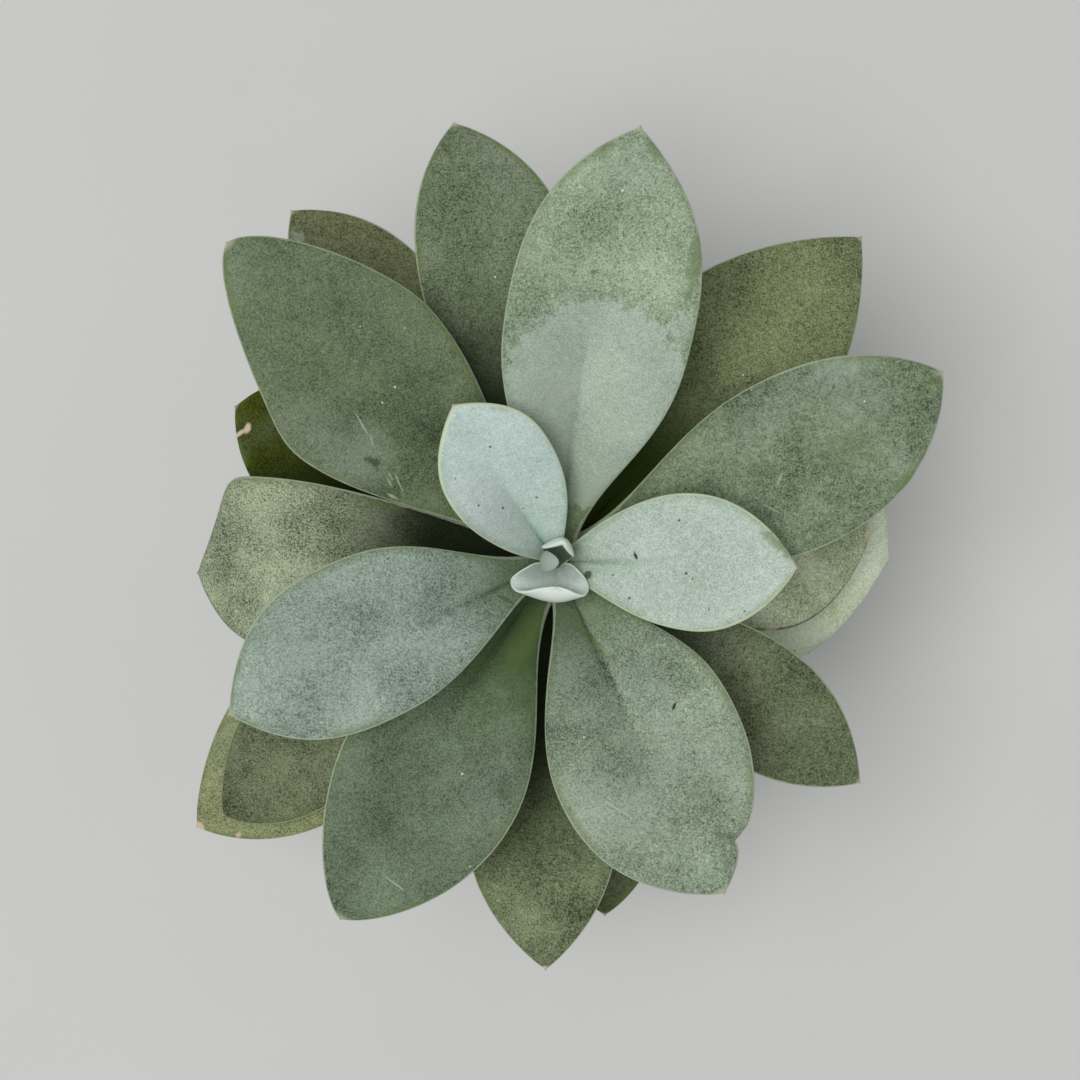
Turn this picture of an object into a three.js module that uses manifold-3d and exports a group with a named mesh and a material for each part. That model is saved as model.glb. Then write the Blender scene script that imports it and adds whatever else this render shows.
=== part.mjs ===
// Potted mountain fire senecio: a rosette of spoon-shaped succulent leaves on a short stem,
// standing in a plain round nursery pot. Millimetres, +Z up.
// The origin is the middle of the pot's underside. Headings are in degrees from +X, counted
// counter-clockwise as seen from above.

import * as THREE from "three";
import { mergeVertices } from "three/addons/utils/BufferGeometryUtils.js";
import Module from "manifold-3d";

const wasm = await Module();
wasm.setup();

// Driving dimensions
const FIT_GAP = 0.3;

const POT = {
  height: 55,
  baseRadius: 21.5,
  shoulderRadius: 25.6,
  rimRadius: 28.3,
  bandHeight: 9,
  bandStep: 1.6,
  wall: 1.1,
  floor: 1.4,
  lip: 0.8,
  drainHoles: 6,
  drainRadius: 2.6,
  drainSides: 16,
  segments: 48,
};

const SOIL = { top: 49, bump: 0.6, lumps: [3, 5], lumpTwist: 0.8, segments: 40 };

const STEM = {
  foot: 24,
  stations: [[24, 4.4], [60, 4.4], [72, 3.9], [80, 2.7], [85, 1.5], [87.4, 0.5]],
  scars: 6,
  scarHeight: 0.35,
  scarSize: [2.3, 1.0],
  rings: 26,
  segments: 18,
};

const ROSETTE = { topSeat: 88.6, seatSpacing: 1.3, turn: -137.5, seatDepth: 0.5, heart: 0.2 };

const BLADE = {
  curl: 1,
  edge: 0.7,
  leanest: 1.0,
  bodyPerWidth: 0.065,
  tipThinning: 0.4,
  fold: [38, 8],
  keel: 0.2,
  cup: 0.1,
  tipWidth: 0.035,
  foldFade: 1.3,
  marginTaper: 0.7,
  rows: 12,
  columns: 6,
  rowCrowding: 0.12,
  stepsPerRow: 8,
};

// Outline families: how wide the neck is against the blade, how fast it flares, how blunt and
// how round the tip is, and where along the leaf the blade is widest. A pair gives the left and
// the right half.
const BUD = { neck: 0.5, flare: 1.1, blunt: 2.2, widest: 0.5, round: 0.8, keel: 1, leanest: 0.7 };
const YOUNG = { neck: 0.2, flare: 1.2, blunt: 2.1, widest: 0.6, round: 0.85 };
const SPOON = { neck: 0.2, flare: 2.0, blunt: 2.4, widest: 0.58, round: 0.85 };
const LANCE = { neck: 0.2, flare: 1.5, blunt: 2.2, widest: 0.6, round: 0.95 };
const SHOVEL = { neck: 0.2, flare: 1.1, blunt: [2.8, 0.85], widest: [0.63, 0.82], round: 1.1 };

// A leaf has its heading, its length, its half widths (left, right), the rise of its midrib at
// the base and at the tip, and the angle that it bends sideways
function leaf(heading, length, half, rise, bend, form, own = {}) {
  return { ...BLADE, heading, length, half, rise, bend, ...form, ...own };
}

// From the youngest to the oldest
const LEAVES = [
  leaf(168, 5.8, [1.4, 1.0], [34, 158], 0, BUD, { fold: [10, 15], round: 0.5, columns: 4 }),
  leaf(70, 6.1, [2.6, 2.1], [28, 112], 0, BUD, { fold: [25, 45], widest: 0.6, keel: 0.6 }),
  leaf(-91, 6.9, [4.0, 5.6], [19, 175], -3, BUD,
    { fold: [46, -25], foldFade: 0.45, curl: 2.2, neck: 0.55, flare: 0.65, blunt: 2, round: 0.6 }),
  leaf(123.3, 25.5, [6.4, 6.8], [56, 28], 0, YOUNG, { blunt: [2.4, 3.1], round: 0.95 }),
  leaf(-1.2, 28.3, [8.0, 7.7], [44, 15], -2, YOUNG, { widest: [0.57, 0.62] }),
  leaf(-155.1, 41.0, [8.2, 10.6], [45, 0], 0, SPOON, { blunt: 3.1, widest: 0.56, round: 1 }),
  leaf(79.4, 50.6, [9.9, 11.2], [45, 8], -5, SPOON, { blunt: 3.2, widest: 0.54, round: 1 }),
  leaf(-63.2, 42.2, [11.2, 11.4], [45, 5], 3, SPOON, { widest: [0.54, 0.61], nick: 0.9, rows: 18 }),
  leaf(135.8, 50.8, [12.4, 10.4], [38, 0], 2, SPOON, { blunt: [0.95, 1.3], widest: 0.62, round: 0.64 }),
  leaf(26, 47.8, [9.2, 11.0], [38, -2], 5, SPOON, { wave: 0.5 }),
  leaf(-121.3, 46.1, [12.6, 9.4], [35, -5], 6, SPOON, { blunt: [2, 1.6], round: 0.74 }),
  leaf(103.1, 49.6, [8.1, 10.4], [32, -8], 0, LANCE, { blunt: 2.6, round: 0.9 }),
  leaf(-36.1, 41.3, [8.1, 6.8], [28, -12], 1, LANCE),
  leaf(-177.9, 42.8, [9.8, 11.3], [28, -45], 2, SHOVEL),
  leaf(46.6, 49.4, [11.9, 10.8], [24, -12], -2, LANCE, { blunt: 1.7, widest: [0.54, 0.62] }),
  leaf(-91.3, 45.6, [8.5, 10.1], [20, -15], 0, LANCE, { blunt: 2 }),
  leaf(127, 49.2, [8.5, 9.0], [18, -15], 2, LANCE, { blunt: [2.2, 2.6] }),
  leaf(4.7, 35.4, [10.2, 11.1], [15, -22], -1, LANCE, { blunt: [3.1, 2.1] }),
  leaf(-142.3, 50.5, [7.2, 10.3], [14, -34], 0, LANCE, { blunt: [2.8, 1.8] }),
  leaf(75.4, 38.0, [9.0, 9.0], [10, -20], 0, LANCE),
  leaf(-81.9, 41.8, [8.3, 7.5], [10, -25], -2, LANCE, { blunt: [2.5, 2] }),
  leaf(154.4, 41.9, [9.6, 9.2], [10, -30], 0, LANCE, { blunt: 2.4 }),
  leaf(-0.2, 38.5, [10.7, 13.6], [8, -20], -5.5, LANCE, { blunt: [4.6, 1.6], widest: [0.73, 0.64] }),
  leaf(-143.1, 53.2, [10.2, 11.7], [6, -20], 0, LANCE, { blunt: [2.2, 1.6], round: 0.87 }),
];

const NICK = { depth: 0.2, reach: 0.025, lobe: 0.14, lobeStart: 0.02 };
const WAVE = { turns: 1.6, start: 0.1 };

const COLOURS = {
  pot: 0x2c2d2f,
  soil: 0x2e2620,
  stem: 0x6e6a50,
  youngLeaf: 0xa9bdb4,
  oldLeaf: 0x5f7260,
};

const { clamp, lerp, degToRad } = THREE.MathUtils;

function pair(value) {
  return Array.isArray(value) ? value : [value, value];
}

function material(colour, roughness) {
  return new THREE.MeshStandardMaterial({ color: colour, roughness, metalness: 0 });
}

// A closed solid for joining and cutting: vertices that share a place are merged first
function solidOf(geometry) {
  geometry.deleteAttribute("normal");
  geometry.deleteAttribute("uv");
  const merged = mergeVertices(geometry, 1e-4);
  const places = merged.getAttribute("position").array;
  const triVerts = new Uint32Array(merged.getIndex().array);
  return new wasm.Manifold(new wasm.Mesh({ numProp: 3, vertProperties: places, triVerts }));
}

function geometryOf(solid) {
  const { vertProperties, triVerts } = solid.getMesh();
  const geometry = new THREE.BufferGeometry();
  geometry.setAttribute("position", new THREE.BufferAttribute(vertProperties, 3));
  geometry.setIndex(new THREE.BufferAttribute(triVerts, 1));
  geometry.computeVertexNormals();
  return geometry;
}

function largestPiece(solid) {
  return solid.decompose().reduce((best, piece) => (piece.volume() > best.volume() ? piece : best));
}

// A lathe about +Z of [radius, height] points; shift moves each point by a formula
function lathe(profile, segments, shift = () => [0, 0]) {
  const points = profile.map(([radius, height]) => new THREE.Vector2(radius, height));
  const geometry = new THREE.LatheGeometry(points, segments);
  geometry.rotateX(Math.PI / 2);
  const place = geometry.getAttribute("position");
  for (let i = 0; i < place.count; i += 1) {
    const radius = Math.hypot(place.getX(i), place.getY(i));
    const angle = Math.round(Math.atan2(place.getY(i), place.getX(i)) * 1e6) / 1e6;
    const [outward, upward] = shift(radius, angle, place.getZ(i));
    const scale = radius > 1e-6 ? (radius + outward) / radius : 1;
    place.setXYZ(i, place.getX(i) * scale, place.getY(i) * scale, place.getZ(i) + upward);
  }
  return geometry;
}

// Pot: a tapered wall, a wider band under the rim and drain holes through the foot of the wall
const bandFoot = POT.height - POT.bandHeight;
const potInside = [
  [0, POT.floor],
  [POT.baseRadius - POT.wall, POT.floor],
  [POT.shoulderRadius - POT.wall, bandFoot],
  [POT.shoulderRadius + POT.bandStep - POT.wall, bandFoot + POT.wall],
  [POT.rimRadius - POT.wall, POT.height],
];

function potSolid() {
  const outside = [
    [POT.rimRadius, POT.height],
    [POT.rimRadius, POT.height - POT.lip],
    [POT.rimRadius - POT.lip / 3, POT.height - POT.lip * 1.5],
    [POT.shoulderRadius + POT.bandStep, bandFoot],
    [POT.shoulderRadius, bandFoot - POT.lip],
    [POT.baseRadius + 0.1, POT.lip],
    [POT.baseRadius - POT.lip, 0],
    [0, 0],
  ];
  let solid = solidOf(lathe([...potInside, ...outside].reverse(), POT.segments));
  for (let i = 0; i < POT.drainHoles; i += 1) {
    const { baseRadius, drainRadius, drainSides } = POT;
    const hole = new THREE.CylinderGeometry(drainRadius, drainRadius, baseRadius, drainSides);
    hole.rotateX(Math.PI / 2);
    const angle = (2 * Math.PI * (i + 0.5)) / POT.drainHoles;
    const radius = baseRadius - POT.wall;
    hole.translate(radius * Math.cos(angle), radius * Math.sin(angle), drainRadius - baseRadius / 2);
    solid = solid.subtract(solidOf(hole));
  }
  return solid;
}

// Stem: tapered to the growing tip, with a raised scar where each lost leaf sat
function seatHeight(age) {
  return ROSETTE.topSeat - ROSETTE.seatSpacing * age;
}

function stemRadius(height) {
  const after = STEM.stations.findIndex(([z]) => z > height);
  const next = after < 1 ? STEM.stations.length - 1 : after;
  const [[z0, r0], [z1, r1]] = STEM.stations.slice(next - 1, next + 1);
  return lerp(r0, r1, clamp((height - z0) / (z1 - z0), 0, 1));
}

function scarRelief(angle, height) {
  const [wide, tall] = STEM.scarSize;
  const oldest = LEAVES.at(-1).heading;
  let relief = 0;
  for (let i = 1; i <= STEM.scars; i += 1) {
    const heading = degToRad(oldest + ROSETTE.turn * i);
    const turn = Math.atan2(Math.sin(angle - heading), Math.cos(angle - heading));
    const sideways = (turn * stemRadius(height)) / wide;
    const drop = (height - seatHeight(LEAVES.length - 1 + i)) / tall;
    relief += Math.exp(-sideways * sideways - drop * drop);
  }
  return relief * STEM.scarHeight;
}

function stemSolid(grow) {
  const [tip, tipRadius] = STEM.stations.at(-1);
  const profile = [[0, STEM.foot - grow]];
  for (let i = 0; i <= STEM.rings; i += 1) {
    const height = lerp(STEM.foot, tip, i / STEM.rings);
    profile.push([stemRadius(height) + grow, i === 0 ? height - grow : height]);
  }
  profile.push([0, tip + tipRadius / 2 + grow]);
  const swell = (radius, angle, height) => [radius > 1 ? scarRelief(angle, height) : 0, 0];
  return solidOf(lathe(profile, STEM.segments, swell));
}

// Soil: fills the pot to below the rim, with a lumpy top and a plain hole for the stem
function soilSolid(stemRoom) {
  const brim = lerp(potInside[3][0], potInside[4][0], (SOIL.top - bandFoot) / POT.bandHeight);
  const profile = [
    [0, POT.floor + FIT_GAP],
    [potInside[1][0] - FIT_GAP, POT.floor + FIT_GAP],
    [potInside[2][0] - FIT_GAP, bandFoot + FIT_GAP / 2],
    [potInside[3][0] - FIT_GAP, bandFoot + POT.wall + FIT_GAP / 2],
    [brim - FIT_GAP, SOIL.top - SOIL.bump],
    [0.8 * brim, SOIL.top],
    [0.6 * brim, SOIL.top],
    [0.4 * brim, SOIL.top],
    [0.25 * brim, SOIL.top],
    [0, SOIL.top],
  ];
  const lumps = (radius, angle, height) => {
    const onTop = height > SOIL.top - SOIL.bump / 2 && radius > 1;
    const [first, second] = SOIL.lumps.map((waves) => waves * angle);
    const lump = Math.sin(first + SOIL.lumpTwist * radius) * Math.cos(second - SOIL.lumpTwist * radius);
    return [0, onTop ? SOIL.bump * lump : 0];
  };
  return solidOf(lathe(profile, SOIL.segments, lumps)).subtract(stemRoom);
}

// Leaf: a blade folded along its midrib, laid on a midrib that rises and bends evenly
function bladeShare(leaf, u, side) {
  const widest = pair(leaf.widest)[side];
  if (u < widest) {
    const opening = Math.pow(Math.sin((Math.PI / 2) * (u / widest)), leaf.flare);
    return leaf.neck + (1 - leaf.neck) * opening;
  }
  const toTip = clamp((u - widest) / (1 - widest), 0, 1);
  const closing = Math.pow(1 - Math.pow(toTip, pair(leaf.blunt)[side]), leaf.round);
  return Math.max(closing, BLADE.tipWidth);
}

// A nick is cut into the left margin, and the blade stays narrower from there to its tip
function halfWidth(leaf, u, side) {
  const width = leaf.half[side] * bladeShare(leaf, u, side);
  if (!leaf.nick || side === 1) {
    return width;
  }
  const cut = NICK.depth * Math.exp(-Math.abs((u - leaf.nick) / NICK.reach));
  const lobe = NICK.lobe * clamp((u - leaf.nick) / NICK.lobeStart + 1, 0, 1);
  return width * (1 - cut - lobe);
}

function midrib(leaf, age, rows) {
  const frames = [];
  const steps = BLADE.stepsPerRow;
  const seat = seatHeight(age);
  const start = Math.max(stemRadius(seat) - ROSETTE.seatDepth, ROSETTE.heart);
  const heading0 = degToRad(leaf.heading);
  const point = new THREE.Vector3(start * Math.cos(heading0), start * Math.sin(heading0), seat);
  const directions = (u) => {
    const rise = degToRad(lerp(leaf.rise[0], leaf.rise[1], u ** leaf.curl));
    const heading = degToRad(leaf.heading + leaf.bend * (2 * u - 1));
    const flat = new THREE.Vector3(Math.cos(heading), Math.sin(heading), 0);
    const along = flat.clone().multiplyScalar(Math.cos(rise)).setZ(Math.sin(rise));
    const side = new THREE.Vector3(-Math.sin(heading), Math.cos(heading), 0);
    return { along, side, up: along.clone().cross(side) };
  };
  for (let i = 0; i < rows.length; i += 1) {
    for (let k = 0; i > 0 && k < steps; k += 1) {
      const u = lerp(rows[i - 1], rows[i], (k + 0.5) / steps);
      const stride = (leaf.length * (rows[i] - rows[i - 1])) / steps;
      point.addScaledVector(directions(u).along, stride);
    }
    frames.push({ point: point.clone(), ...directions(rows[i]) });
  }
  return frames;
}

function foldShape(leaf, u, v) {
  const side = v > 0 ? 0 : 1;
  const width = halfWidth(leaf, u, side);
  const fade = Math.pow(1 - u, leaf.foldFade);
  const fold = degToRad(lerp(leaf.fold[1], leaf.fold[0], fade));
  const climb = (x) => Math.hypot(x, leaf.keel) - leaf.keel;
  const lift = (climb(v) / climb(1)) * Math.sin(fold);
  const cup = BLADE.cup * v ** 4 * Math.sin(Math.PI * u);
  const phase = 2 * Math.PI * (WAVE.turns * u + WAVE.start);
  const wave = (leaf.wave ?? 0) * Math.sin(phase) * Math.sign(v) * v * v * Math.sin(Math.PI * u);
  return [width * v * Math.cos(fold), width * (lift - cup) + wave];
}

function bladeThickness(leaf, u, v) {
  const body = leaf.leanest + BLADE.bodyPerWidth * (leaf.half[0] + leaf.half[1]);
  const middle = body * (1 - BLADE.tipThinning * u * u);
  return BLADE.edge + (middle - BLADE.edge) * Math.pow(1 - v * v, BLADE.marginTaper);
}

function leafGeometry(leaf, age) {
  const rowCount = leaf.rows;
  const columnCount = leaf.columns;
  const rows = Array.from({ length: rowCount + 1 }, (_, i) => {
    const s = i / rowCount;
    return s + BLADE.rowCrowding * Math.sin(Math.PI * s);
  });
  const frames = midrib(leaf, age, rows);
  const middle = (i, v) => {
    const { point, side, up } = frames[i];
    const [across, lift] = foldShape(leaf, rows[i], v);
    return point.clone().addScaledVector(side, across).addScaledVector(up, lift);
  };
  const faceNormal = (i, v) => {
    const i0 = Math.max(i - 1, 0);
    const i1 = Math.min(i + 1, rowCount);
    const along = middle(i1, v).sub(middle(i0, v));
    const across = middle(i, Math.min(v + 0.1, 1)).sub(middle(i, Math.max(v - 0.1, -1)));
    return along.cross(across).normalize();
  };
  const places = [];
  for (const face of [1, -1]) {
    for (let i = 0; i <= rowCount; i += 1) {
      for (let j = 0; j <= columnCount; j += 1) {
        const v = (2 * j) / columnCount - 1;
        const half = (face * bladeThickness(leaf, rows[i], v)) / 2;
        places.push(middle(i, v).addScaledVector(faceNormal(i, v), half));
      }
    }
  }
  const wide = columnCount + 1;
  const back = places.length / 2;
  const triangles = [];
  const quad = (a, b, c, d) => triangles.push(a, b, c, a, c, d);
  for (let i = 0; i < rowCount; i += 1) {
    for (let j = 0; j < columnCount; j += 1) {
      const a = i * wide + j;
      const corners = [a, a + wide, a + wide + 1, a + 1];
      quad(...corners);
      const [p, q, r, s] = corners.map((corner) => corner + back);
      triangles.push(p, r, q, p, s, r);
    }
    const left = i * wide;
    const right = left + columnCount;
    quad(left, left + back, left + back + wide, left + wide);
    quad(right, right + wide, right + wide + back, right + back);
  }
  for (let j = 0; j < columnCount; j += 1) {
    const tip = rowCount * wide + j;
    quad(j, j + 1, j + 1 + back, j + back);
    quad(tip, tip + back, tip + 1 + back, tip + 1);
  }
  const geometry = new THREE.BufferGeometry().setFromPoints(places);
  geometry.setIndex(triangles);
  return geometry;
}

function leafSolid(leaf, age, stemRoom) {
  return largestPiece(solidOf(leafGeometry(leaf, age)).subtract(stemRoom));
}

// Assembly
const plant = new THREE.Group();

function addPiece(name, solid, finish) {
  const piece = new THREE.Mesh(geometryOf(solid), finish);
  piece.name = name;
  plant.add(piece);
}

const stemRoom = stemSolid(FIT_GAP);
addPiece("pot", potSolid(), material(COLOURS.pot, 0.6));
addPiece("soil", soilSolid(stemRoom), material(COLOURS.soil, 0.95));
addPiece("stem", stemSolid(0), material(COLOURS.stem, 0.8));
LEAVES.forEach((leaf, age) => {
  const colour = new THREE.Color(COLOURS.youngLeaf);
  colour.lerp(new THREE.Color(COLOURS.oldLeaf), Math.sqrt(age / (LEAVES.length - 1)));
  const name = `leaf_${String(age + 1).padStart(2, "0")}`;
  addPiece(name, leafSolid(leaf, age, stemRoom), material(colour, 0.55));
});

export default plant;
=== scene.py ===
"""A potted mountain fire senecio, seen from straight above.

A rosette of folded, waxy, spoon-shaped leaves sits on a short stem, which stands in a plain
nursery pot of soil. Sizes are in millimetres until a mesh is made, headings are in degrees from
+X, counted counter-clockwise as seen from above, and the middle of the pot's underside is the
origin. Each leaf is a surface of u, from its seat to its tip, and v, from its right margin at -1
over the midrib at 0 to its left margin at 1.
"""

import logging
import math
from dataclasses import dataclass, replace
from enum import Enum

import bpy
import numpy as np
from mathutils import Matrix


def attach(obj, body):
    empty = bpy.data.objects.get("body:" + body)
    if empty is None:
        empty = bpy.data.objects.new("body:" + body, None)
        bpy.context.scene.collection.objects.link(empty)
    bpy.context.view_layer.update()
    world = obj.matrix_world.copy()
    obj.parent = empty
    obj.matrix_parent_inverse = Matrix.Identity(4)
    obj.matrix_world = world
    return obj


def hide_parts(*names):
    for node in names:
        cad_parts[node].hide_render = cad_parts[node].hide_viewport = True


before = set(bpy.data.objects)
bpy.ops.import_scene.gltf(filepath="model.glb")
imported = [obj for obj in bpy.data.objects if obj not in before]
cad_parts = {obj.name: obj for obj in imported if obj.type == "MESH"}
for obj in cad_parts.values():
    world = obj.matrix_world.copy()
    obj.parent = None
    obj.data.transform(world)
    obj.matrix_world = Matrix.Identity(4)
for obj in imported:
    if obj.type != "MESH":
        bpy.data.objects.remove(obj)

log = logging.getLogger("senecio")

MM = 0.001
BODY = "root"
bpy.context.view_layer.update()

Pair = tuple[float, float]
Socket = bpy.types.NodeSocket
Piece = bpy.types.Object


def blend(start: np.ndarray, end: np.ndarray, share: np.ndarray) -> np.ndarray:
    """Start plus share of the way to end."""
    return start + (end - start) * share


def smooth(low: float, high: float, value: np.ndarray) -> np.ndarray:
    """0 below low, 1 above high, and 3t^2 - 2t^3 between, with t the share of the way."""
    t = np.clip((value - low) / (high - low), 0.0, 1.0)
    return t * t * (3.0 - 2.0 * t)


def full_turn(count: int) -> np.ndarray:
    """Evenly spaced directions of a full turn, in radians."""
    return np.linspace(0, 2 * np.pi, count, endpoint=False)


def linear_light(code: int) -> tuple[float, ...]:
    """Turn 0xRRGGBB into light: c/12.92 where c is small, else ((c + 0.055)/1.055)^2.4."""
    parts = [((code >> shift) & 255) / 255 for shift in (16, 8, 0)]
    return tuple(c / 12.92 if c <= 0.04045 else ((c + 0.055) / 1.055) ** 2.4 for c in parts)


class MeshMaker:
    """Puts arrays of points and faces into finished Blender objects."""

    @staticmethod
    def build(name: str, points: np.ndarray, faces: list[np.ndarray]) -> Piece:
        """Make an object from points and faces.

        Args:
            name: the piece's name.
            points: places in millimetres, one row each.
            faces: arrays of vertex numbers, one row per face, one array per number of corners.

        Returns:
            The smooth-shaded object, at the origin.
        """
        mesh = bpy.data.meshes.new(name)
        corners = np.concatenate([rows.ravel() for rows in faces])
        sizes = np.concatenate([np.full(len(rows), rows.shape[1]) for rows in faces])
        mesh.vertices.add(len(points))
        mesh.vertices.foreach_set("co", (points * MM).ravel())
        mesh.loops.add(len(corners))
        mesh.loops.foreach_set("vertex_index", corners)
        mesh.polygons.add(len(sizes))
        mesh.polygons.foreach_set("loop_start", np.cumsum(sizes) - sizes)
        mesh.update(calc_edges=True)
        mesh.validate()
        mesh.polygons.foreach_set("use_smooth", np.ones(len(mesh.polygons), bool))
        piece = bpy.data.objects.new(name, mesh)
        bpy.context.scene.collection.objects.link(piece)
        return piece

    @staticmethod
    def mark(piece: Piece, name: str, values: np.ndarray) -> None:
        """Keep one number per vertex as an attribute that a material can read."""
        layer = piece.data.attributes.new(name, "FLOAT", "POINT")
        layer.data.foreach_set("value", values.ravel().astype(np.float32))

    @staticmethod
    def tube_faces(rings: int, around: int) -> np.ndarray:
        """Join rings of points into quads.

        Args:
            rings: how many rings there are.
            around: how many points a ring has; its last point meets its first.

        Returns:
            Quads that face out where the points run counter-clockwise against the rings.
        """
        i, j = np.meshgrid(np.arange(rings - 1), np.arange(around), indexing="ij")
        here, beside = i * around + j, i * around + (j + 1) % around
        return np.stack([here, beside, beside + around, here + around], -1).reshape(-1, 4)

    @staticmethod
    def close(rings: int, around: int) -> list[np.ndarray]:
        """Join rings of points and close the first and the last ring with fans.

        Args:
            rings: how many rings there are; the centre points of the two fans follow them.
            around: how many points a ring has.

        Returns:
            The quads, and the triangles of both fans.
        """
        ring, centre = np.arange(around), rings * around
        after, last = np.roll(ring, -1), centre - around
        start = np.stack([0 * ring + centre, after, ring], -1)
        end = np.stack([0 * ring + centre + 1, ring + last, after + last], -1)
        return [MeshMaker.tube_faces(rings, around), np.concatenate([start, end])]

    @staticmethod
    def turned(
        radius: np.ndarray, height: np.ndarray, around: int, ends: Pair
    ) -> tuple[np.ndarray, list[np.ndarray]]:
        """Turn a section round the upright axis: x = r cos(a), y = r sin(a), z = height.

        Args:
            radius: a row of radii for each ring.
            height: a row of heights for each ring.
            around: how many points a ring has.
            ends: the heights of the centre points that close the first and the last ring.

        Returns:
            Points and faces.
        """
        angle = full_turn(around)
        rings = np.broadcast_arrays(radius * np.cos(angle), radius * np.sin(angle), height)
        points = [np.stack(rings, -1).reshape(-1, 3), [[0, 0, end] for end in ends]]
        return np.concatenate(points), MeshMaker.close(len(radius), around)


@dataclass(frozen=True)
class Grain:
    """Cloudy noise: features in a millimetre, how many finer layers, and how strong they are."""

    per_mm: float
    detail: float
    roughness: float


class Ink:
    """A short way to write a material's nodes."""

    def __init__(self, name: str) -> None:
        """Start a material with a surface shader and the object's own places in millimetres.

        Args:
            name: the material's name.
        """
        self.material = bpy.data.materials.new(name)
        self.material.use_nodes = True
        self.tree = self.material.node_tree
        self.shader = self.tree.nodes["Principled BSDF"]
        own = self.node("TexCoord", {}).outputs["Object"]
        scaled = self.node("VectorMath", {0: own, "Scale": 1.0 / MM}, operation="SCALE")
        self.places = scaled.outputs[0]

    def node(self, kind: str, feeds: dict, **settings: object) -> bpy.types.Node:
        """Add a node.

        Args:
            kind: the node's type name without its first part.
            feeds: an output, a number or a tuple for each input, by number or name.
            settings: the properties to set on it.

        Returns:
            The node.
        """
        made = self.tree.nodes.new("ShaderNode" + kind)
        for key, value in settings.items():
            setattr(made, key, value)
        for key, value in feeds.items():
            self.feed(made.inputs[key], value)
        return made

    def feed(self, socket: Socket, value: object) -> None:
        """Link an input to an output, or set its plain value.

        Args:
            socket: the input.
            value: an output, a number, a tuple, or 0xRRGGBB where a colour goes in.
        """
        if isinstance(value, Socket):
            self.tree.links.new(value, socket)
        else:
            socket.default_value = (*linear_light(value), 1.0) if socket.type == "RGBA" else value

    def attribute(self, name: str) -> Socket:
        """A number kept on the mesh."""
        return self.node("Attribute", {}, attribute_name=name).outputs["Fac"]

    def maths(self, operation: str, *values: object) -> Socket:
        """One step of arithmetic on outputs or numbers."""
        return self.node("Math", dict(enumerate(values)), operation=operation).outputs[0]

    def times(self, first: object, second: object) -> Socket:
        """First times second."""
        return self.maths("MULTIPLY", first, second)

    def add(self, value: object, factor: object, total: object) -> Socket:
        """Value times factor plus total."""
        return self.maths("MULTIPLY_ADD", value, factor, total)

    def ramp(self, value: object, low: float, high: float, to: Pair = (0.0, 1.0)) -> Socket:
        """A value carried smoothly from the range low to high, or high to low, to another range."""
        feeds = dict(enumerate((value, low, high, *to)))
        return self.node("MapRange", feeds, interpolation_type="SMOOTHSTEP").outputs[0]

    def coat(self, under: object, share: object, code: int) -> Socket:
        """A colour laid over the one under it by a share, which is held between 0 and 1."""
        made = self.node("Mix", {0: share, 6: under, 7: code}, data_type="RGBA", clamp_factor=True)
        return made.outputs[2]

    def noise(self, grain: Grain, place: Socket | None = None) -> Socket:
        """Make cloudy noise.

        Args:
            grain: its size and detail.
            place: where to read it, instead of the object's own places.

        Returns:
            The noise, most of it between 0.3 and 0.7.
        """
        feeds = {"Vector": self.places if place is None else place, "Scale": grain.per_mm}
        feeds |= {"Detail": grain.detail, "Roughness": grain.roughness}
        return self.node("TexNoise", feeds).outputs["Fac"]

    def specks(self, per_mm: float, radius: float, share: float, strength: float) -> Socket:
        """Scatter round specks.

        Args:
            per_mm: how many cells, of one possible speck each, fit in a millimetre.
            radius: a speck's radius as a share of its cell.
            share: the share of the cells that hold a speck.
            strength: the result inside a speck.

        Returns:
            The strength inside a speck and 0 outside.
        """
        cells = self.node("TexVoronoi", {"Vector": self.places, "Scale": per_mm})
        chance = self.node("SeparateColor", {0: cells.outputs["Color"]}).outputs[0]
        inside = self.ramp(cells.outputs["Distance"], radius, radius / 2)
        return self.times(self.times(inside, self.maths("LESS_THAN", chance, share)), strength)

    def bump(self, height: Socket, depth_mm: float, strength: float = 1.0) -> None:
        """Let a height from 0 to 1 show as a relief of this depth and strength."""
        feeds = {"Height": height, "Distance": depth_mm * MM, "Strength": strength}
        self.feed(self.shader.inputs["Normal"], self.node("Bump", feeds).outputs[0])

    def paint(self, piece: Piece, colour: Socket, roughness: object) -> None:
        """Finish the material on a piece.

        Args:
            piece: what wears it.
            colour: the surface's colour.
            roughness: an output or a number.
        """
        self.feed(self.shader.inputs["Base Color"], colour)
        self.feed(self.shader.inputs["Roughness"], roughness)
        piece.data.materials.append(self.material)


class LeafInk(Ink):
    """The nodes of a leaf's skin, with the measures that its finish and its marks share."""

    FELT = Grain(4.6, 2.0, 0.8)
    CLOUD = Grain(0.14, 2.0, 0.5)
    ROUGH = Grain(0.9, 3.0, 0.7)

    def __init__(self, name: str, length: float) -> None:
        """Start the skin with its measures along, across and in from the margin.

        Args:
            name: the material's name.
            length: the leaf's length in millimetres.
        """
        super().__init__(name)
        self.length = length
        parts = ("along", "across", "margin", "above")
        self.along, self.across, self.margin, self.above = map(self.attribute, parts)
        self.blade = self.node("CombineXYZ", {0: self.along, 1: self.across}).outputs[0]
        self.felt, self.cloud = self.noise(self.FELT), self.noise(self.CLOUD)
        self.rough = self.level(self.noise(self.ROUGH))

    def level(self, noise: Socket) -> Socket:
        """Noise moved down by half, so that it swings about 0."""
        return self.maths("SUBTRACT", noise, 0.5)


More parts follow.
